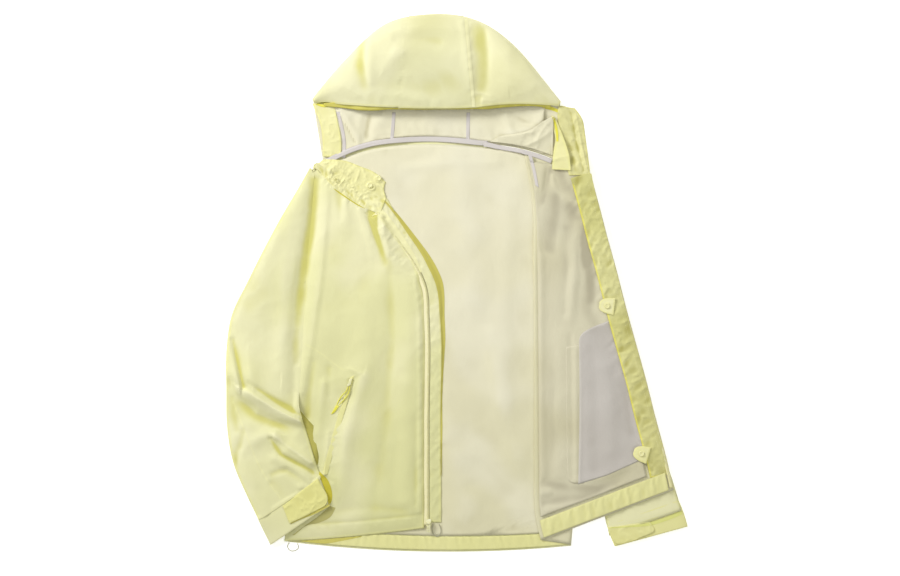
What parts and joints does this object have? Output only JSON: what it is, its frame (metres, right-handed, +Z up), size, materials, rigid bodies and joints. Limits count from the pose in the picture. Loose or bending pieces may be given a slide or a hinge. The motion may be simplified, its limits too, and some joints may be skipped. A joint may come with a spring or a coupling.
{
  "type": "hooded windbreaker jacket laid open",
  "caption": "Hooded windbreaker laid flat on its back, one front turned open to show its lining, with zip, wind flap, cuffs, snap tabs and a pouched hood.",
  "frame": {"origin": "Middle of the laid-out jacket's box, on the surface it lies on.", "axes": "+X across the jacket towards the wearer's left front, +Y from hem to hood, +Z up from the surface."},
  "size_m": [0.8077, 0.941, 0.0452],
  "materials": {
    "shell": "matte woven shell cloth, pale yellow",
    "facing": "the same cloth where it is turned in, a little brighter",
    "lining": "thin cream backing",
    "pocket_bag": "thin grey mesh bag",
    "seam_tape": "smooth grey seam tape",
    "zip": "pale yellow coil zip on tape",
    "slider": "pale yellow coated slider and pull tab",
    "snap": "pale yellow snap caps and eyelet",
    "puller": "bright yellow cord and moulded tip",
    "elastic_cord": "pale translucent elastic cord"
  },
  "bodies": {
    "jacket": {"back": "shell", "back_hem_facing": "facing", "back_lining": "lining", "chin_tab": "shell", "collar_snap_lower": "snap", "collar_snap_upper": "snap", "cord_eyelet": "snap", "hem_loop_front": "elastic_cord", "hem_loop_side": "elastic_cord", "hood_brim_facing": "facing", "hood_centre_panel": "shell", "hood_face_facing": "facing", "hood_face_tape": "seam_tape", "hood_left_panel": "shell", "hood_lining": "lining", "hood_right_panel": "shell", "hood_tape_left": "seam_tape", "hood_tape_right": "seam_tape", "left_collar": "facing", "left_collar_lining": "lining", "left_cuff": "shell", "left_cuff_tab": "facing", "left_front": "shell", "left_front_facing": "facing", "left_front_lining": "lining", "left_hem_facing": "facing", "left_neck_tape": "seam_tape", "left_pocket_bag": "pocket_bag", "left_pocket_welt": "lining", "left_sleeve_top": "shell", "left_sleeve_under": "shell", "left_zip": "facing", "main_slider": "slider", "neck_tape": "seam_tape", "raglan_tape": "seam_tape", "right_collar": "shell", "right_cuff": "shell", "right_cuff_tab": "facing", "right_front": "shell", "right_pocket_slider": "slider", "right_pocket_welt": "facing", "right_puller_strand_a": "puller", "right_puller_strand_b": "puller", "right_puller_tip": "puller", "right_sleeve_top": "shell", "right_sleeve_under": "shell", "right_zip": "zip", "snap_tab_lower": "facing", "snap_tab_upper": "facing", "tab_snap_lower": "snap", "tab_snap_upper": "snap", "wind_flap": "shell"},
    "pull_tab": {"pull_tab": "slider"}
  },
  "joints": [
    {"name": "pull_tab_hinge", "type": "hinge", "parent": "jacket", "child": "pull_tab", "pos_m": [-0.0494, -0.419, 0.01135], "axis": [-1, 0, 0], "range_deg": [0, 160]}
  ]
}
